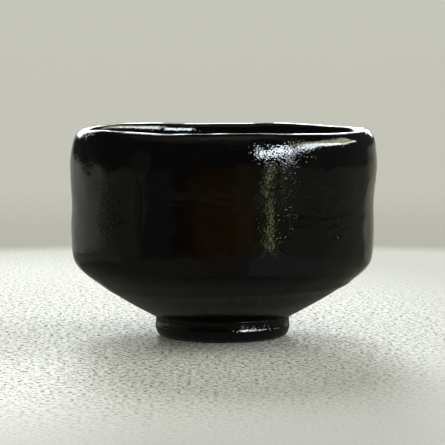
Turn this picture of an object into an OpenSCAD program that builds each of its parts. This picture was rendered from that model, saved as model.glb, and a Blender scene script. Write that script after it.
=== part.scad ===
// Matcha bowl: a hand-formed stoneware bowl on a luted foot ring, under a thick black glaze.
// +Z is up. The origin is the centre of the foot's standing ring, on the surface the bowl rests on.
// The bowl's front faces -Y.

/* [Bowl] */
// Widest radius, at the shoulder just under the lip
shoulder_r = 58; // [54:0.5:62]
// Height of the lip's crest above the table
lip_h = 79.1; // [76:0.1:83]
// Thickness of the wall at mid height, glaze included
wall_t = 5; // [4.2:0.1:6.5]
// Height of the bowl's floor above the table, glaze included
floor_h = 12.4; // [11.6:0.1:13.6]

/* [Hand forming] */
// Height of the five low peaks of the lip
lip_wave = 0.25; // [0:0.05:0.8]
// Direction of the first peak, in degrees from the right-hand side
lip_wave_at = 208; // [0:1:359]
// How far the right-hand side of the lip droops
lip_droop = 0.35; // [0:0.05:1]
// How far the mouth leans over towards the right
mouth_lean = 0.5; // [0:0.1:1.5]
// Depth of the three soft lobes that keep the mouth from being round
mouth_lobe = 0.4; // [0:0.1:1.2]

/* [Foot] */
// Radius of the foot at its fullest, glaze included
foot_r = 25.6; // [24:0.1:28]
// Height of the plane where the foot ring meets the bowl
foot_h = 7.9; // [7:0.1:8.7]
// Width of the clay ring where it meets the bowl
ring_w = 4.8; // [4:0.1:6]
// Height at which the glaze has been wiped off the foot
wiped_h = 0.5; // [0.3:0.1:1.5]

/* [Layers] */
// Thickness of the glaze on the bowl
glaze_t = 0.7; // [0.4:0.1:0.9]
// Thickness of the slip that lutes the foot ring to the bowl
slip_t = 0.4; // [0.2:0.1:0.6]

/* [Resolution] */
// Facets round the hand-formed skins
sides = 48; // [36:12:72]
// Steps in each bend of an outline
bend_steps = 2; // [2:1:4]

/* [Hidden] */
$fn = 96;

CLAY_COLOUR = [0.42, 0.34, 0.28];
SLIP_COLOUR = [0.55, 0.47, 0.40];
GLAZE_COLOUR = [0.03, 0.03, 0.035];

lip_peaks = 5;
mouth_lobes = 3;
mouth_lobe_at = 40;

// Radii that follow from the driving dimensions
wall_r = shoulder_r - 0.7;
mouth_r = shoulder_r - 4;
hollow_r = wall_r - wall_t;
ring_out_r = foot_r - 1.1;
ring_in_r = ring_out_r - ring_w;
ring_top = foot_h - slip_t;
centre_r = 2.5;

// Below this height the bowl is true to its axis, and the potter's hand shows more and more above it.
true_h = floor_h + 1.5;

// Outside of the glaze, from the foot up to the lip's crest, as the corners that a smooth line rounds off.
outer_corners = [
    [foot_r + 0.4, foot_h],
    [38, 14.2],
    [47.8, 20.6],
    [wall_r - 2.7, 25.9],
    [wall_r - 0.1, 30.5],
    [wall_r + 0.3, 42],
    [wall_r - 0.1, 52],
    [shoulder_r + 0.4, 64],
    [shoulder_r - 0.2, 71.6],
    [mouth_r + 1.2, lip_h],
    [mouth_r, lip_h]
];

// Inside of the glaze, from the crest down the wall to the tea pool at the centre.
inner_corners = [
    [mouth_r, lip_h],
    [mouth_r - 1.15, lip_h],
    [hollow_r + 0.1, lip_h - 2.6],
    [hollow_r - 0.5, lip_h - 6],
    [hollow_r + 0.6, 64],
    [hollow_r + 0.2, 44],
    [hollow_r - 1, 32],
    [43, 22.4],
    [31, floor_h + 3.4],
    [17, floor_h + 1.3],
    [14, floor_h + 0.3],
    [11, floor_h],
    [centre_r, floor_h]
];

// Outside of the foot's clay, from the standing ring up to its top.
foot_corners = [
    [ring_out_r - 2, 0],
    [ring_out_r - 0.8, 0.2],
    [ring_out_r + 0.4, 4.8],
    [ring_out_r, ring_top]
];

function mid(a, b) = (a + b) / 2;
function bend(a, b, c, t) = pow(1 - t, 2) * a + 2 * t * (1 - t) * b + t * t * c;

// A smooth line that leaves the first corner, rounds off each one between, and ends on the last.
function rounded(corners, steps) =
    let (last = len(corners) - 1)
    [
        for (i = [1 : last - 1])
            let (
                from = i == 1 ? corners[0] : mid(corners[i - 1], corners[i]),
                to = i == last - 1 ? corners[last] : mid(corners[i], corners[i + 1])
            )
            for (k = [0 : steps - 1]) bend(from, corners[i], to, k / steps),
        corners[last]
    ];

function unit(v) = v / norm(v);
function left_of(v) = [-v[1], v[0]];

// The same line moved sideways by d, to its left as it is walked.
function beside(line, d) =
    let (last = len(line) - 1)
    [
        for (i = [0 : last])
            line[i] + d * left_of(unit(line[min(i + 1, last)] - line[max(i - 1, 0)]))
    ];

function reversed(line) = [for (i = [len(line) - 1 : -1 : 0]) line[i]];

outer_line = rounded(outer_corners, bend_steps);
inner_line = rounded(inner_corners, bend_steps);
crest = len(outer_line) - 1;

// The clay lies one glaze thickness inside the glaze's face, and starts at the foot ring's outer edge.
face_line = concat(outer_line, [for (i = [1 : len(inner_line) - 1]) inner_line[i]]);
clay_line = concat([[ring_out_r, foot_h]], [for (i = [1 : len(face_line) - 1]) beside(face_line, glaze_t)[i]]);
clay_outer = [for (i = [0 : crest]) clay_line[i]];
clay_inner = [for (i = [crest : len(clay_line) - 1]) clay_line[i]];

// How much of the hand's irregularity a height has: none low down, all of it at the lip.
function freedom(z) = pow(max(0, z - true_h) / (lip_h - true_h), 2);

// Where a point of the outline at radius p[0] and height p[1] lies on the hand-formed bowl.
function formed_point(p, angle) =
    let (
        share = freedom(p[1]),
        out = mouth_lean * cos(angle) + mouth_lobe * cos(mouth_lobes * (angle - mouth_lobe_at)),
        up = lip_wave * cos(lip_peaks * (angle - lip_wave_at)) - lip_droop * cos(angle),
        r = p[0] + share * out
    )
    [r * cos(angle), r * sin(angle), p[1] + share * up];

// A solid skin round the axis through the points of a line, walked with the solid on its left.
// A closed line makes a ring, and an open one is closed by a flat disc at each end.
module formed_solid(line, closed) {
    rings = len(line);
    walked = closed ? rings : rings - 1;
    points = [for (p = line) for (j = [0 : sides - 1]) formed_point(p, 360 * j / sides)];
    skin = [
        for (i = [0 : walked - 1])
            for (j = [0 : sides - 1])
                let (
                    a = i * sides + j,
                    b = i * sides + (j + 1) % sides,
                    c = (i + 1) % rings * sides + j,
                    d = (i + 1) % rings * sides + (j + 1) % sides
                )
                each [[a, c, b], [b, c, d]]
    ];
    first_disc = [for (j = [0 : sides - 1]) j];
    last_disc = [for (j = [sides - 1 : -1 : 0]) (rings - 1) * sides + j];
    polyhedron(points, closed ? skin : concat(skin, [first_disc, last_disc]));
}

// The fired clay of the bowl: wall, floor and the flat seat for the foot ring, in one piece.
module clay_body() {
    color(CLAY_COLOUR) formed_solid(clay_line, false);
}

// Black glaze on the outside, from the foot ring's seat to the lip's crest.
module outer_glaze() {
    color(GLAZE_COLOUR) formed_solid(concat(outer_line, reversed(clay_outer)), true);
}

// Black glaze on the inside, from the lip's crest down to the tea pool.
module inner_glaze() {
    color(GLAZE_COLOUR) formed_solid(concat(reversed(clay_inner), inner_line), false);
}

foot_line = rounded(foot_corners, 4);
ring_base_in_r = ring_in_r + 1.3;

// Radius of the foot ring's tapered inner wall at a height.
function ring_inside(z) = ring_base_in_r + (ring_in_r - ring_base_in_r) * min(1, z / ring_top);

// The foot's clay ring, rounded outside and tapered inside, which stands on its bare base.
module foot_ring() {
    color(CLAY_COLOUR)
        rotate_extrude()
            polygon(concat(foot_line, [[ring_in_r, ring_top], [ring_base_in_r, 0]]));
}

// The slip between the foot ring and the bowl.
module luting_slip() {
    color(SLIP_COLOUR)
        rotate_extrude()
            polygon([[ring_in_r, ring_top], [ring_out_r, ring_top], [ring_out_r, foot_h], [ring_in_r, foot_h]]);
}

// Black glaze on the outside of the foot: a fillet under the bowl, and a thick roll above the bare base.
module foot_glaze() {
    covered = [for (p = foot_line) if (p[1] >= wiped_h) p];
    face_corners = [
        covered[0],
        [foot_r - 1.4, wiped_h - 0.2],
        [foot_r - 0.5, 1.9],
        [foot_r + 0.15, 3.9],
        [foot_r - 0.2, 5.2],
        [foot_r - 0.3, foot_h - 1],
        [foot_r + 0.4, foot_h]
    ];
    color(GLAZE_COLOUR)
        rotate_extrude()
            polygon(concat(rounded(face_corners, 4), [[ring_out_r, foot_h]], reversed(covered)));
}

// Black glaze inside the foot ring: on its inner wall, and across the bowl's underside.
module recess_glaze() {
    skin_t = 0.6;
    face_corners = [
        [0, foot_h - skin_t - 0.2],
        [ring_in_r - 6, foot_h - skin_t - 0.1],
        [ring_in_r - skin_t - 0.3, foot_h - skin_t - 0.2],
        [ring_inside(wiped_h + 1.5) - skin_t, wiped_h + 1.5],
        [ring_inside(wiped_h) - skin_t, wiped_h],
        [ring_inside(wiped_h), wiped_h]
    ];
    color(GLAZE_COLOUR)
        rotate_extrude()
            polygon(concat(rounded(face_corners, 4), [[ring_in_r, ring_top], [ring_in_r, foot_h], [0, foot_h]]));
}

clay_body();
foot_ring();
luting_slip();
outer_glaze();
inner_glaze();
foot_glaze();
recess_glaze();
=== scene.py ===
import math

import bpy
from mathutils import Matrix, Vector, noise


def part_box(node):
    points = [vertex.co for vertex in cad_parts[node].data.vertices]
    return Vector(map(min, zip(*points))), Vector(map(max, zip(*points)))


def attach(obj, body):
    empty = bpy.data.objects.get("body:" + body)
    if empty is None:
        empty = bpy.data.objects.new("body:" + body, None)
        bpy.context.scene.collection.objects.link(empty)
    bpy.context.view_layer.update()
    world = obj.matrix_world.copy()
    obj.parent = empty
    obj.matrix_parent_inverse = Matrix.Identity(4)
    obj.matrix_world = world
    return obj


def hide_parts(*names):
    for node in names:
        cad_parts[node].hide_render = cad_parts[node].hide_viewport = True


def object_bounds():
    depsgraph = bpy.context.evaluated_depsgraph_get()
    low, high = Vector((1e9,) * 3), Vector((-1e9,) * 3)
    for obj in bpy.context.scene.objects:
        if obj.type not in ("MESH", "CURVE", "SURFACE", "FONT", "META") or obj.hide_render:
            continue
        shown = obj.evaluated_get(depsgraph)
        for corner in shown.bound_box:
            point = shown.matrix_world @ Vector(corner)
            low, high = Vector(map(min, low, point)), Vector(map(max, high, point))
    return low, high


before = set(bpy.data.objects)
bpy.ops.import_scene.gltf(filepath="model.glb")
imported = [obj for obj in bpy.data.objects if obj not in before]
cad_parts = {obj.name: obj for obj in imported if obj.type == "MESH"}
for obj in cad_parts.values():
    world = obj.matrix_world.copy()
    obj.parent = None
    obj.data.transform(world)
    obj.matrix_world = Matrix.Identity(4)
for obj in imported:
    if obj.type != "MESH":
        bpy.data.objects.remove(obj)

CAD_BOX = [list(corner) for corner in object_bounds()]
MM = 0.001

# ---------------------------------------------------------------- sizes, in metres, most from the boxes of the CAD parts

BOWL_LOW, BOWL_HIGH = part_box("outer_glaze")
FOOT_LOW, FOOT_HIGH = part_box("foot_glaze")
SLIP_LOW, SLIP_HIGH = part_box("luting_slip")
POOL_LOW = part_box("inner_glaze")[0]

SEAT_Z = BOWL_LOW.z
SEAT_R = FOOT_HIGH.x
SHOULDER_R = (BOWL_HIGH.x - BOWL_LOW.x) / 2 - 0.2 * MM
WALL_R = SHOULDER_R - 0.7 * MM
LIP_Z = BOWL_HIGH.z - 0.6 * MM
MOUTH_R = SHOULDER_R - 4.0 * MM
WALL_T = 5.0 * MM
HOLLOW_R = WALL_R - WALL_T
GLAZE_T = 0.7 * MM
FLOOR_Z = POOL_LOW.z + GLAZE_T
TRUE_Z = FLOOR_Z + 1.5 * MM
RING_R = SLIP_HIGH.x
RING_TOP = SLIP_LOW.z
WIPED_Z = FOOT_LOW.z

CLAY_RING_W = 4.8 * MM
CLAY_RING_TAPER = 1.3 * MM

# Facets round the axis, and distances between the points of an outline.
SECTORS = 512
VERY_FINE = 0.35 * MM
FINE = 0.7 * MM
COARSE = 3.0 * MM

# ---------------------------------------------------------------- outlines, as (radius, height)


def outline(*corners):
    return [Vector((r, z)) for r, z in corners]


def rounded(corners, steps=24):
    """A smooth line that leaves the first corner, rounds off those between and ends on the last."""
    line = []
    last = len(corners) - 1
    for i in range(1, last):
        start = corners[0] if i == 1 else (corners[i - 1] + corners[i]) / 2
        end = corners[last] if i == last - 1 else (corners[i] + corners[i + 1]) / 2
        for k in range(steps):
            t = k / steps
            line.append((1 - t) ** 2 * start + 2 * t * (1 - t) * corners[i] + t * t * end)
    return line + [corners[last]]


def evenly(line, spacing):
    """The same line with its points evenly spread, about the given spacing apart."""
    lengths = [(b - a).length for a, b in zip(line, line[1:])]
    count = max(2, round(sum(lengths) / spacing))
    points = [line[0]]
    walked, i = 0.0, 0
    for k in range(1, count):
        goal = sum(lengths) * k / count
        while walked + lengths[i] < goal:
            walked += lengths[i]
            i += 1
        points.append(line[i].lerp(line[i + 1], (goal - walked) / lengths[i]))
    return points + [line[-1]]


def beside(line, distance):
    """The same line moved sideways, to its left as it is walked."""
    moved = []
    for i, point in enumerate(line):
        along = (line[min(i + 1, len(line) - 1)] - line[max(i - 1, 0)]).normalized()
        moved.append(point + distance * Vector((-along.y, along.x)))
    return moved


OUTER = rounded(outline(
    (SEAT_R, SEAT_Z),
    (38.0 * MM, 14.2 * MM),
    (47.8 * MM, 20.6 * MM),
    (WALL_R - 2.7 * MM, 25.9 * MM),
    (WALL_R - 0.1 * MM, 30.5 * MM),
    (WALL_R + 0.3 * MM, 42.0 * MM),
    (WALL_R - 0.1 * MM, 52.0 * MM),
    (SHOULDER_R + 0.4 * MM, 64.0 * MM),
    (SHOULDER_R - 0.2 * MM, 71.6 * MM),
    (MOUTH_R + 1.75 * MM, LIP_Z),
    (MOUTH_R, LIP_Z),
))

INNER = rounded(outline(
    (MOUTH_R, LIP_Z),
    (MOUTH_R - 1.0 * MM, LIP_Z),
    (HOLLOW_R, LIP_Z - 2.3 * MM),
    (HOLLOW_R - 0.1 * MM, LIP_Z - 5.2 * MM),
    (HOLLOW_R + 0.6 * MM, 64.0 * MM),
    (HOLLOW_R + 0.2 * MM, 44.0 * MM),
    (HOLLOW_R - 1.0 * MM, 32.0 * MM),
    (43.0 * MM, 22.4 * MM),
    (31.0 * MM, FLOOR_Z + 3.4 * MM),
    (17.0 * MM, FLOOR_Z + 1.3 * MM),
    (14.0 * MM, FLOOR_Z + 0.3 * MM),
    (11.0 * MM, FLOOR_Z),
    (0.0, FLOOR_Z),
))

# ---------------------------------------------------------------- the potter's hand

# Forming that the CAD has too, in millimetres and degrees.
LIP_PEAKS = 5
LIP_WAVE = 0.25
LIP_WAVE_AT = 208
LIP_DROOP = 0.35
MOUTH_LEAN = 0.5
MOUTH_LOBES = 3
MOUTH_LOBE = 0.4
MOUTH_LOBE_AT = 40

# The lip's low left end, which only this model has: its depth in millimetres, and its width in radians.
LEFT_DIP = 1.0
LEFT_DIP_W = 0.45


def ease(x, low, high):
    """0 below low, 1 above high, and a smooth rise between."""
    t = min(1.0, max(0.0, (x - low) / (high - low)))
    return t * t * (3 - 2 * t)


def bell(x, middle, width):
    return math.exp(-((x - middle) / width) ** 2)


def lump(x, y, z, size, seed):
    """Smooth noise between about -1 and 1 whose lumps are of the given size."""
    return noise.noise(Vector((x / size + seed, y / size - seed, z / size + 0.37 * seed)))


def lip_rise(angle):
    """How far the lip stands above or below its mean height: five waves, a droop on the right, a low
    left end, and the unevenness of the hand."""
    slow = LIP_WAVE * math.cos(LIP_PEAKS * (angle - math.radians(LIP_WAVE_AT)))
    slow -= LIP_DROOP * math.cos(angle)
    slow -= LEFT_DIP * bell(angle, math.pi, LEFT_DIP_W)
    c, s = math.cos(angle), math.sin(angle)
    wobble = 0.22 * lump(c, s, 0, 0.42, 11.3) + 0.12 * lump(c, s, 0, 0.16, 4.1)
    return (slow + wobble) * MM


def formed(r, z, angle, outside):
    """Where a point of the outline lies on the hand-formed bowl."""
    share = max(0.0, (z - TRUE_Z) / (LIP_Z - TRUE_Z)) ** 2
    lean = MOUTH_LEAN * math.cos(angle)
    lobes = MOUTH_LOBE * math.cos(MOUTH_LOBES * (angle - math.radians(MOUTH_LOBE_AT)))
    radius = r + share * (lean + lobes) * MM
    height = z + share * lip_rise(angle)
    x, y = radius * math.cos(angle), radius * math.sin(angle)
    if outside:
        radius += dent(x, y, z, angle)
    else:
        radius += 0.18 * MM * lump(x, y, z, 14 * MM, 2.7) * ease(r, 5 * MM, 20 * MM)
        radius += 0.11 * MM * bell(angle, math.radians(126), 0.5) * pull_under_the_lip(z)
    return Vector((radius * math.cos(angle), radius * math.sin(angle), height))


def pull_under_the_lip(z):
    """Where a finger has drawn the inside out: just under the lip, and not at its crest."""
    fullest = LIP_Z - 0.9 * MM
    return ease(z, LIP_Z - 3.7 * MM, fullest) * (1 - ease(z, fullest, LIP_Z))


def dent(x, y, z, angle):
    """How far the outside stands proud of its outline, in dents, wrinkles and a trimmed ridge."""
    free = ease(z, SEAT_Z + 0.5 * MM, SEAT_Z + 6 * MM)
    crest = 1 - 0.7 * ease(z, LIP_Z - 3 * MM, LIP_Z)
    broad = 0.30 * lump(x, y, z, 22 * MM, 5.9) + 0.16 * lump(x, y, z, 9 * MM, 1.3)
    wrinkle = 0.07 * lump(x / 3.2, y / 3.2, z, 1.9 * MM, 8.8)
    wrinkled = 0.35 + 0.65 * ease(math.cos(angle + math.radians(40)), 0.2, 0.9)
    wrinkled *= 1 - 0.85 * ease(z, 62 * MM, 67 * MM)
    shoulder = 0.35 * math.cos(angle) * bell(z, 67 * MM, 8 * MM)
    shoulder += 0.65 * ease(math.cos(angle), 0.3, 1) * bell(z, 75 * MM, 3.5 * MM)
    ridge_z = (19.2 + 1.3 * math.cos(angle) - 0.6 * math.sin(angle)) * MM
    ridge = (0.20 + 0.35 * ease(math.cos(angle), 0.6, 1)) * bell(z, ridge_z, 1.2 * MM)
    ridge -= 0.12 * bell(z, ridge_z - 2.6 * MM, 1.8 * MM)
    return (broad + wrinkle * wrinkled + shoulder + ridge) * free * crest * MM


# ---------------------------------------------------------------- meshes


def revolved(name, line, closed, place):
    """A solid skin round the axis through the points of a line, walked with the solid on its left.
    A closed line makes a ring. An open one begins and ends on the axis."""
    tip_start = not closed and line[0].x == 0
    tip_end = not closed and line[-1].x == 0
    first = 1 if tip_start else 0
    past = len(line) - 1 if tip_end else len(line)
    rings = line[first:past]
    verts = []
    for point in rings:
        for j in range(SECTORS):
            verts.append(place(point.x, point.y, 2 * math.pi * j / SECTORS))
    faces = []
    walked = len(rings) if closed else len(rings) - 1
    for i in range(walked):
        here, there = i * SECTORS, (i + 1) % len(rings) * SECTORS
        for j in range(SECTORS):
            k = (j + 1) % SECTORS
            faces.append((here + j, here + k, there + k, there + j))
    if tip_start:
        verts.append(place(0.0, line[0].y, 0.0))
        faces += [(len(verts) - 1, (j + 1) % SECTORS, j) for j in range(SECTORS)]
    if tip_end:
        verts.append(place(0.0, line[-1].y, 0.0))
        end = (len(rings) - 1) * SECTORS
        faces += [(len(verts) - 1, end + j, end + (j + 1) % SECTORS) for j in range(SECTORS)]
    mesh = bpy.data.meshes.new(name)
    mesh.from_pydata(verts, [], faces)
    mesh.shade_smooth()
    piece = bpy.data.objects.new(name, mesh)
    bpy.context.scene.collection.objects.link(piece)
    return piece


def part_of_bowl(piece, node, material):
    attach(piece, "root")
    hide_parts(node)
    piece.data.materials.append(material)


# ---------------------------------------------------------------- materials


class Nodes:
    """A material's node tree, with short names for the nodes that these materials use."""

    def __init__(self, name):
        self.material = bpy.data.materials.new(name)
        self.material.use_nodes = True
        self.tree = self.material.node_tree
        self.shader = self.tree.nodes["Principled BSDF"]
        self.place = self.add("ShaderNodeTexCoord").outputs["Object"]

    def add(self, kind, **settings):
        node = self.tree.nodes.new(kind)
        for key, value in settings.items():
            setattr(node, key, value)
        return node

    def link(self, source, target):
        self.tree.links.new(source, target)

    def stretched(self, scale):
        """Object coordinates times a scale for each axis."""
        node = self.add("ShaderNodeMapping")
        node.inputs["Scale"].default_value = scale
        self.link(self.place, node.inputs["Vector"])
        return node.outputs["Vector"]

    def noise(self, size, detail=2.0, rough=0.5, vector=None, twist=0.0):
        """Noise whose features are about size metres across."""
        node = self.add("ShaderNodeTexNoise")
        node.inputs["Scale"].default_value = 1 / size
        node.inputs["Distortion"].default_value = twist
        node.inputs["Detail"].default_value = detail
        node.inputs["Roughness"].default_value = rough
        self.link(vector or self.place, node.inputs["Vector"])
        return node.outputs["Fac"]

    def pits(self, size):
        """Distance to the nearest of many scattered points, in cells about size metres across."""
        node = self.add("ShaderNodeTexVoronoi")
        node.inputs["Scale"].default_value = 1 / size
        self.link(self.place, node.inputs["Vector"])
        return node.outputs["Distance"]

    def span(self, value, low, high, to_low=0.0, to_high=1.0):
        """Maps low..high to to_low..to_high, smoothly, and stops at both ends."""
        node = self.add("ShaderNodeMapRange", interpolation_type="SMOOTHSTEP")
        node.inputs["From Min"].default_value = low
        node.inputs["From Max"].default_value = high
        node.inputs["To Min"].default_value = to_low
        node.inputs["To Max"].default_value = to_high
        self.link(value, node.inputs["Value"])
        return node.outputs["Result"]

    def math(self, operation, a, b):
        node = self.add("ShaderNodeMath", operation=operation)
        for socket, value in zip(node.inputs, (a, b)):
            if isinstance(value, (int, float)):
                socket.default_value = value
            else:
                self.link(value, socket)
        return node.outputs["Value"]

    def blob(self, centre, radii):
        """Distance from a point, where 1 is the surface of an ellipsoid round it."""
        node = self.add("ShaderNodeMapping", vector_type="TEXTURE")
        node.inputs["Location"].default_value = centre
        node.inputs["Scale"].default_value = radii
        self.link(self.place, node.inputs["Vector"])
        length = self.add("ShaderNodeVectorMath", operation="LENGTH")
        self.link(node.outputs["Vector"], length.inputs[0])
        return length.outputs["Value"]

    def within(self, places, least):
        """Each ellipsoid's own share inside it, ragged at its edge, and least everywhere else."""
        share = least
        for centre, radii, strength in places:
            ragged = self.math("MULTIPLY", self.noise(7 * MM, 3), 0.8)
            edge = self.math("ADD", self.blob(centre, radii), ragged)
            share = self.math("ADD", share, self.span(edge, 0.9, 1.6, strength, 0.0))
        return share

    def mix(self, share, a, b):
        """Colour a where share is 0 and colour b where it is 1."""
        node = self.add("ShaderNodeMix", data_type="RGBA")
        self.link(share, node.inputs["Factor"])
        for socket, value in ((node.inputs["A"], a), (node.inputs["B"], b)):
            if isinstance(value, tuple):
                socket.default_value = (*value, 1)
            else:
                self.link(value, socket)
        return node.outputs["Result"]

    def bump(self, height, distance, normal=None):
        """Relief in which a height of 1 stands distance metres proud."""
        node = self.add("ShaderNodeBump")
        node.inputs["Distance"].default_value = distance
        self.link(height, node.inputs["Height"])
        if normal is not None:
            self.link(normal, node.inputs["Normal"])
        return node.outputs["Normal"]

    def finish(self, colour, rough, normal):
        self.link(colour, self.shader.inputs["Base Color"])
        self.link(rough, self.shader.inputs["Roughness"])
        self.link(normal, self.shader.inputs["Normal"])
        return self.material


def black_glaze(name, brown_at=None, sparkling_at=(), wrinkled_at=(), creased_at=()):
    """Thick black glaze, glossy, orange-peeled and pitted. Given places are brown, sparkling with
    pinholes, wrinkled or creased."""
    n = Nodes(name)
    n.shader.inputs["IOR"].default_value = 1.5
    mottle = n.span(n.noise(5 * MM, 4), 0.45, 0.75)
    colour = n.mix(mottle, (0.0020, 0.0020, 0.0020), (0.0040, 0.0034, 0.0026))
    if brown_at:
        edge = n.math("ADD", n.blob(*brown_at), n.math("MULTIPLY", n.noise(6 * MM, 4), 0.7))
        colour = n.mix(n.span(edge, 0.75, 1.6, 1.0, 0.0), colour, (0.0062, 0.0032, 0.0012))

    sparkling = n.within(sparkling_at, 0.10)
    pinholes = n.math("MULTIPLY", n.span(n.pits(1.1 * MM), 0.04, 0.38), sparkling)
    grains = n.math("MULTIPLY", n.noise(0.8 * MM, 1), sparkling)
    wrinkles = n.math("MULTIPLY", n.noise(1.1 * MM, 2, 0.6, twist=1.2), n.within(wrinkled_at, 0.05))
    creases = n.noise(2.4 * MM, 2, 0.6, n.stretched((0.35, 0.35, 1.0)), twist=0.6)
    creases = n.math("MULTIPLY", creases, n.within(creased_at, 0.04))
    pitted = n.span(n.noise(11 * MM, 3), 0.42, 0.60, 0.1, 1.0)
    pits = n.math("MULTIPLY", n.span(n.pits(1.6 * MM), 0.06, 0.30), pitted)

    normal = n.bump(n.noise(2.6 * MM, 2), 0.022 * MM)
    normal = n.bump(pits, 0.030 * MM, normal)
    normal = n.bump(creases, 0.380 * MM, normal)
    normal = n.bump(wrinkles, 0.360 * MM, normal)
    normal = n.bump(grains, 0.060 * MM, normal)
    normal = n.bump(pinholes, 0.085 * MM, normal)
    rough = n.span(n.noise(7 * MM, 3), 0.35, 0.7, 0.03, 0.07)
    return n.finish(colour, rough, normal)


def fired_clay(name, pale, dark):
    """Bare fired clay: matt, sandy and specked."""
    n = Nodes(name)
    n.shader.inputs["Specular IOR Level"].default_value = 0.25
    speck = n.span(n.pits(0.8 * MM), 0.12, 0.3)
    colour = n.mix(speck, dark, n.mix(n.noise(4 * MM, 4), pale, dark))
    normal = n.bump(n.noise(0.4 * MM, 3), 0.05 * MM)
    rough = n.span(n.noise(3 * MM), 0.3, 0.7, 0.75, 0.95)
    return n.finish(colour, rough, normal)


# Places on the glaze: an ellipsoid's centre and radii, and for the relief also how strong it is there.
BROWN_PATCH = ((-1 * MM, -WALL_R, 47 * MM), (14 * MM, 30 * MM, 18 * MM))
SPARKLING_PATCHES = (
    ((20 * MM, -54 * MM, 52 * MM), (8 * MM, 16 * MM, 23 * MM), 0.52),
    ((22 * MM, -50 * MM, 71 * MM), (13 * MM, 16 * MM, 5 * MM), 0.64),
    ((-52 * MM, -24 * MM, 78 * MM), (9 * MM, 18 * MM, 3.5 * MM), 0.80),
    ((15 * MM, -22 * MM, 4.5 * MM), (16 * MM, 14 * MM, 4 * MM), 0.90),
    ((0, 0, 80 * MM), (66 * MM, 66 * MM, 2.4 * MM), 0.60),
)
WRINKLED_PATCHES = (
    ((25 * MM, -51 * MM, 58 * MM), (4.5 * MM, 12 * MM, 14 * MM), 0.36),
    ((-42 * MM, -40 * MM, 49 * MM), (7 * MM, 7 * MM, 13 * MM), 1.0),
    ((-31 * MM, -48 * MM, 52 * MM), (2 * MM, 6 * MM, 12 * MM), 1.0),
)
CREASED_PATCHES = (
    ((41 * MM, -41 * MM, 50 * MM), (14 * MM, 14 * MM, 14 * MM), 0.88),
)
SPARKLING_INSIDE = (
    ((0, 0, 80 * MM), (66 * MM, 66 * MM, 3.6 * MM), 0.60),
)
OUTER_BLACK = black_glaze(
    "outer_black_glaze", BROWN_PATCH, SPARKLING_PATCHES, WRINKLED_PATCHES, CREASED_PATCHES
)
INNER_BLACK = black_glaze("inner_black_glaze", sparkling_at=SPARKLING_INSIDE)
CLAY = fired_clay("fired_clay", (0.11, 0.085, 0.065), (0.05, 0.04, 0.03))
SLIP = fired_clay("fired_slip", (0.34, 0.27, 0.21), (0.20, 0.15, 0.11))

# ---------------------------------------------------------------- the bowl


def outside(r, z, angle):
    return formed(r, z, angle, True)


def inside(r, z, angle):
    return formed(r, z, angle, False)


def true(r, z, angle):
    return Vector((r * math.cos(angle), r * math.sin(angle), z))


def thrown(r, z, angle):
    """Where a point of the foot glaze lies: true, but for an uneven roll half way up."""
    roll = 0.06 * lump(math.cos(angle), math.sin(angle), 0, 0.3, 6.2)
    roll += 0.20 * bell(angle, math.radians(300), 0.42)
    roll *= bell(z, 3.9 * MM, 0.9 * MM) * ease(r, RING_R + 0.3 * MM, RING_R + 0.8 * MM)
    return true(r + roll * MM, z, angle)


def bowl():
    """The two coats, and the clay between them, which has the outside's dents on both its faces."""
    outer_face = evenly(OUTER, FINE)
    inner_face = evenly(INNER, FINE)
    outer_back = beside(evenly(OUTER, COARSE), GLAZE_T)
    outer_back[0] = Vector((RING_R, SEAT_Z))
    inner_back = beside(evenly(INNER, COARSE), GLAZE_T)
    inner_back[-1] = Vector((0.0, FLOOR_Z - GLAZE_T))
    inner_back[0] = outer_back[-1]

    glaze = revolved("outer_glaze_coat", outer_face + outer_back[::-1], True, outside)
    part_of_bowl(glaze, "outer_glaze", OUTER_BLACK)
    glaze = revolved("inner_glaze_coat", inner_back[::-1] + inner_face, False, inside)
    part_of_bowl(glaze, "inner_glaze", INNER_BLACK)
    clay = revolved("clay_bowl", [Vector((0.0, SEAT_Z))] + outer_back + inner_back[1:], False, outside)
    part_of_bowl(clay, "clay_body", CLAY)


bowl()

# ---------------------------------------------------------------- the foot


def foot():
    """The clay ring and its coat. The slip and the recess glaze keep their CAD shapes."""
    ring_in_r = RING_R - CLAY_RING_W
    ring_line = rounded(outline(
        (RING_R - 2.0 * MM, 0.0),
        (RING_R - 0.8 * MM, 0.2 * MM),
        (RING_R + 0.4 * MM, 4.8 * MM),
        (RING_R, RING_TOP),
    ))
    ring = evenly(ring_line, FINE)
    ring += evenly(outline((ring_in_r, RING_TOP), (ring_in_r + CLAY_RING_TAPER, 0.0)), FINE)
    piece = revolved("foot_ring_clay", ring, True, true)
    part_of_bowl(piece, "foot_ring", CLAY)

    covered = [p for p in evenly(ring_line, FINE) if p.y >= WIPED_Z]
    face = rounded([covered[0]] + outline(
        (SEAT_R - 1.8 * MM, WIPED_Z - 0.2 * MM),
        (SEAT_R - 0.9 * MM, 1.9 * MM),
        (SEAT_R - 0.33 * MM, 3.9 * MM),
        (SEAT_R - 0.58 * MM, 5.1 * MM),
        (SEAT_R - 0.62 * MM, SEAT_Z - 1.2 * MM),
        (SEAT_R - 0.55 * MM, SEAT_Z - 0.3 * MM),
        (SEAT_R, SEAT_Z),
    ))
    coat = evenly(face, VERY_FINE) + [Vector((RING_R, SEAT_Z))] + covered[:0:-1]
    piece = revolved("foot_glaze_coat", coat, True, thrown)
    part_of_bowl(piece, "foot_glaze", OUTER_BLACK)

    for node, material in (("luting_slip", SLIP), ("recess_glaze", INNER_BLACK)):
        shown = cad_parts[node].data
        shown.materials.clear()
        shown.materials.append(material)


foot()

# ---------------------------------------------------------------- stage, lights and camera

MIDDLE = Vector((0, 0, (CAD_BOX[0][2] + CAD_BOX[1][2]) / 2))
DISC_SIDES = 96
FLOOR_R = 30.0
GLOSS_FLOOR_R = 0.085

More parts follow.
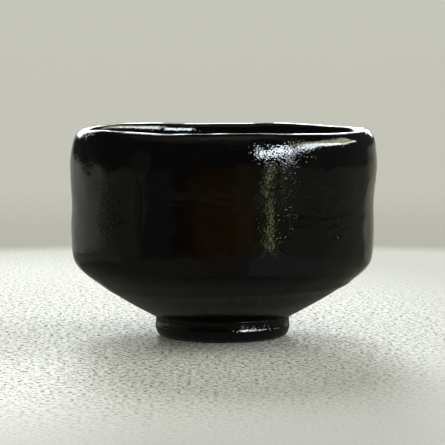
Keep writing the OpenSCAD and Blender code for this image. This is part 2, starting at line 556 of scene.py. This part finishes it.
# The size of the sand's grain, and how much of the sand is pale and how much dark.
SAND_GRAIN = 1.5 * MM
PALE_SHARE = 0.77
DARK_SHARE = 0.23

# Distances from the bowl's axis between which the grain softens, the floor gives way to a plain
# backdrop, and that backdrop brightens.
GRAIN_SOFTENS = (0.09, 0.26)
BACKDROP_BEGINS = (0.345, 0.40)
BACKDROP_BRIGHTENS = (0.4, 0.9)

# A painted pool of light on the floor, as an ellipsoid's centre and radii, and how bright the rest is
# beside it, in painted shade.
PAINTED_LIGHT_POOL = ((-0.10, 0.05, 0), (0.24, 0.31, 1))
PAINTED_SHADE_BESIDE_POOL = 0.75

# How bright the backdrop begins, and how much the floor in the gloss glows.
DIM_BACKDROP = 0.87
GLOSS_FLOOR_GLOW = 0.42

# Degrees between the points of a patch of the room.
PATCH_STEP = 6


def direction(azimuth, elevation):
    """Azimuth 0 points at the camera, along -Y, and 90 along +X."""
    a, e = math.radians(azimuth), math.radians(elevation)
    return Vector((math.sin(a) * math.cos(e), -math.cos(a) * math.cos(e), math.sin(e)))


def seen_by(thing, camera, glossy, light):
    """Which rays meet a thing: the camera's, reflections, and light that bounces and casts shadows."""
    thing.visible_camera = camera
    thing.visible_glossy = glossy
    thing.visible_diffuse = light
    thing.visible_shadow = light


def staged(name, verts, faces, material):
    mesh = bpy.data.meshes.new(name)
    mesh.from_pydata(verts, [], faces)
    mesh.shade_smooth()
    mesh.materials.append(material)
    thing = bpy.data.objects.new(name, mesh)
    bpy.context.scene.collection.objects.link(thing)
    return thing


def sandy(name, pale, dark, beyond=None, fade=None):
    """Matt, pale and finely grained. Given a plain tone beyond, a pool of light is painted on the sand
    with painted shade beside it, and far from the bowl the grain gives way to that tone. Or the sand
    fades out between two distances and glows with painted light."""
    n = Nodes(name)
    n.shader.inputs["Specular IOR Level"].default_value = 0
    grain = n.math("ADD", n.noise(SAND_GRAIN, 3, 0.7), n.math("MULTIPLY", n.noise(3 * MM, 2), 0.3))
    colour = n.mix(n.span(grain, 0.48, 0.70), dark, pale)
    away = n.blob((0, 0, 0), (1, 1, 1))
    if beyond:
        mean = tuple(PALE_SHARE * a + DARK_SHARE * b for a, b in zip(pale, dark))
        colour = n.mix(n.span(away, *GRAIN_SOFTENS, 0.0, 0.6), colour, mean)
        # Painted light and shade: the sand is left bright inside a pool and dimmed beside it.
        painted_shade_share = n.span(n.blob(*PAINTED_LIGHT_POOL), 0.55, 1.10)
        colour = n.mix(painted_shade_share, colour, tuple(PAINTED_SHADE_BESIDE_POOL * c for c in mean))
        dim = tuple(DIM_BACKDROP * c for c in beyond)
        beyond = n.mix(n.span(away, *BACKDROP_BRIGHTENS), dim, beyond)
        colour = n.mix(n.span(away, *BACKDROP_BEGINS), colour, beyond)
    if fade:
        n.link(n.span(away, *fade, 1.0, 0.0), n.shader.inputs["Alpha"])
        # Painted light: the faded sand glows in its pale colour.
        n.shader.inputs["Emission Color"].default_value = (*pale, 1)
        n.shader.inputs["Emission Strength"].default_value = GLOSS_FLOOR_GLOW
    normal = n.bump(n.noise(SAND_GRAIN, 2), 0.50 * MM)
    return n.finish(colour, n.span(n.noise(5 * MM), 0, 1, 0.8, 0.95), normal)


def room_light():
    """One glow for every patch of the room, whose colour and softness are stored at its corners."""
    n = Nodes("room_light")
    light = n.add("ShaderNodeAttribute", attribute_name="light")
    n.shader.inputs["Base Color"].default_value = (0, 0, 0, 1)
    n.shader.inputs["Specular IOR Level"].default_value = 0
    n.shader.inputs["Emission Strength"].default_value = 1
    n.link(light.outputs["Color"], n.shader.inputs["Emission Color"])
    n.link(light.outputs["Alpha"], n.shader.inputs["Alpha"])
    n.material.cycles.emission_sampling = "NONE"
    return n.material


ROOM_LIGHT = room_light()


def disc(name, radius, material):
    """A flat disc on the table, round the bowl's axis."""
    verts = [Vector((0, 0, 0))]
    verts += [radius * direction(360 * k / DISC_SIDES, 0) for k in range(DISC_SIDES)]
    faces = [(0, k + 1, (k + 1) % DISC_SIDES + 1) for k in range(DISC_SIDES)]
    return staged(name, verts, faces, material)


def stops(low, high, soft):
    """Angles from low to high, about PATCH_STEP apart, with one at each end of the soft edges."""
    count = max(1, round((high - low - 2 * soft) / PATCH_STEP))
    inner = [low + soft + (high - low - 2 * soft) * k / count for k in range(count + 1)]
    return [low] + inner + [high]


def patch(name, azimuths, elevations, colour, strength, soft, radius):
    """A piece of a great sphere round the bowl that only its gloss can see, with soft edges."""
    across, up = stops(*azimuths, soft), stops(*elevations, soft)
    verts = [MIDDLE + radius * direction(az, el) for az in across for el in up]
    faces = []
    for i in range(len(across) - 1):
        for j in range(len(up) - 1):
            a = i * len(up) + j
            faces.append((a, a + 1, a + len(up) + 1, a + len(up)))
    thing = staged(name, verts, faces, ROOM_LIGHT)
    seen_by(thing, False, True, False)
    light = thing.data.color_attributes.new("light", "FLOAT_COLOR", "POINT")
    for k in range(len(verts)):
        i, j = divmod(k, len(up))
        edge = soft and (i in (0, len(across) - 1) or j in (0, len(up) - 1))
        light.data[k].color = (*(strength * c for c in colour), 0.0 if edge else 1.0)


WARM_GREY = (1.0, 0.97, 0.78)
PALE_GREY = (1.0, 1.0, 0.90)
COOL_GREY = (0.92, 1.0, 1.0)
BROWN = (1.0, 0.50, 0.14)
LEAF = (0.90, 1.0, 0.50)
DAYLIGHT = (0.85, 0.93, 1.0)
CREAM = (1.0, 0.97, 0.68)
WHITE = (0.97, 0.98, 1.0)

ROOM_IN_THE_GLOSS = (
    # name, azimuths, elevations, colour, strength, softness of the edges, distance
    ("dim_room", (-180, 180), (-89.9, 89.9), COOL_GREY, 0.030, 0, 3.3),
    ("left_far", (-165, -104), (-9, 1), PALE_GREY, 0.34, 2, 3.0),
    ("left_middle", (-108, -84), (-10, 1), WARM_GREY, 0.20, 3, 3.0),
    ("left_near", (-88, -60), (-12, 3), WARM_GREY, 0.13, 3, 3.0),
    ("left_frame", (-73, -57), (0, 14), WARM_GREY, 0.08, 2, 2.9),
    ("left_grey", (-62, -36), (-14, 5), COOL_GREY, 0.055, 6, 3.0),
    ("brown_dark", (-40, -14), (-14, 3), BROWN, 0.024, 6, 3.0),
    ("brown_middle", (-26, 12), (-14, 4), BROWN, 0.080, 8, 2.9),
    ("brown_bright", (6, 26), (-14, 8), (1.0, 0.70, 0.35), 0.13, 3, 3.0),
    ("streak", (25, 52), (-13, 5), LEAF, 0.13, 2, 3.0),
    ("streak_bright", (31, 38), (-13, 5), LEAF, 2.2, 2, 2.8),
    ("right_near", (50, 84), (-14, 0), WARM_GREY, 0.13, 2, 3.0),
    ("right_middle", (80, 140), (-14, 0), WARM_GREY, 0.14, 2, 2.9),
    ("right_far", (134, 170), (-14, 3), WARM_GREY, 0.35, 4, 2.8),
    ("room_right", (60, 165), (-2, 30), COOL_GREY, 0.060, 2, 3.1),
    ("floor_left_far", (-180, -80), (-17, -7), WARM_GREY, 0.18, 3, 3.1),
    ("floor_left", (-180, -80), (-66, -12), WARM_GREY, 0.10, 4, 3.15),
    ("floor_left_front", (-86, -14), (-66, -9), WARM_GREY, 0.115, 4, 3.1),
    ("floor_front", (-20, 28), (-66, -9), (1.0, 0.90, 0.80), 0.10, 4, 3.12),
    ("floor_right", (18, 84), (-66, -4), COOL_GREY, 0.18, 8, 3.1),
    ("floor_right_far", (74, 180), (-66, -9), WARM_GREY, 0.17, 4, 3.12),
    ("ceiling_low", (-80, 28), (27, 38), WARM_GREY, 0.10, 4, 3.1),
    ("ceiling_wide", (-95, 75), (33, 70), WARM_GREY, 0.14, 4, 3.0),
    ("ceiling_middle", (-62, 58), (38, 69), WARM_GREY, 0.22, 4, 2.9),
    ("ceiling_near", (-26, 34), (36, 68), WARM_GREY, 0.34, 4, 2.8),
    ("window_near", (27, 54), (15, 24), DAYLIGHT, 26.0, 1, 2.8),
    ("window_middle", (57, 83), (17, 26), (0.88, 0.96, 1.0), 20.0, 1, 2.8),
    ("window_top", (57, 100), (24, 32), CREAM, 4.5, 1, 2.85),
    ("window_top_end", (98, 122), (22, 34), CREAM, 4.5, 2, 2.86),
    ("window_far", (82, 104), (18, 24), (0.97, 1.0, 0.90), 22.0, 1, 2.8),
    ("window_far_end", (102, 126), (17, 22), (1.0, 1.0, 0.75), 12.0, 2, 2.8),
    ("backdrop_in_the_gloss", (163, 200), (-14, 8), PALE_GREY, 0.38, 2, 3.02),
    ("bright_back", (158, 213), (5, 27), WHITE, 8.0, 3, 3.0),
    ("bright_back_high", (-158, -134), (44, 64), WHITE, 7.0, 3, 3.0),
    ("bright_back_right", (146, 168), (30, 62), WHITE, 3.5, 3, 3.0),
)


def surroundings():
    """A pale floor, and what the black gloss mirrors: a darker, glowing copy of the floor, which is
    painted shade and painted light, and a room all round.
    """
    beyond = (0.397, 0.382, 0.347)
    pale_sand = sandy("pale_sand", (0.835, 0.83, 0.795), (0.12, 0.12, 0.10), beyond=beyond)
    floor = disc("floor", FLOOR_R, pale_sand)
    seen_by(floor, True, False, True)
    fade = (0.055, GLOSS_FLOOR_R)
    # Painted shade and painted light: the floor as the gloss sees it, darker than the pale sand and
    # glowing.
    sand_with_painted_shade_and_glow = sandy("sand_with_painted_shade_and_glow", (0.12, 0.12, 0.112), (0.09, 0.09, 0.084), fade=fade)
    near = disc("floor_in_the_gloss", GLOSS_FLOOR_R, sand_with_painted_shade_and_glow)
    seen_by(near, False, True, False)
    for row in ROOM_IN_THE_GLOSS:
        patch(*row)


def sun(name, azimuth, elevation, strength, spread):
    light = bpy.data.lights.new(name, "SUN")
    light.color = (0.95, 1.0, 1.02)
    light.energy = strength
    light.angle = math.radians(spread)
    lamp = bpy.data.objects.new(name, light)
    lamp.rotation_euler = direction(azimuth, elevation).to_track_quat("Z", "Y").to_euler()
    lamp.visible_glossy = False
    bpy.context.scene.collection.objects.link(lamp)


def soft_light():
    sun("light_from_behind", 185, 33, 2.3, 18)
    sun("low_light_from_behind", 184, 13, 4.6, 14)
    sun("light_from_the_right", 100, 26, 1.25, 40)
    world = bpy.data.worlds.new("pale_room")
    world.use_nodes = True
    world.node_tree.nodes["Background"].inputs["Color"].default_value = (0.86, 0.86, 0.75, 1)
    world.node_tree.nodes["Background"].inputs["Strength"].default_value = 0.65
    bpy.context.scene.world = world


def camera():
    data = bpy.data.cameras.new("camera")
    data.sensor_width = 36
    data.lens = 186
    eye = bpy.data.objects.new("camera", data)
    eye.location = (0, -0.872, 0.113)
    target = Vector((0, 0, 0.0431))
    eye.rotation_euler = (target - eye.location).to_track_quat("-Z", "Y").to_euler()
    data.clip_start = 0.01
    data.clip_end = 100
    bpy.context.scene.collection.objects.link(eye)
    bpy.context.scene.camera = eye


surroundings()
soft_light()
camera()
bpy.context.scene.view_settings.view_transform = "Standard"
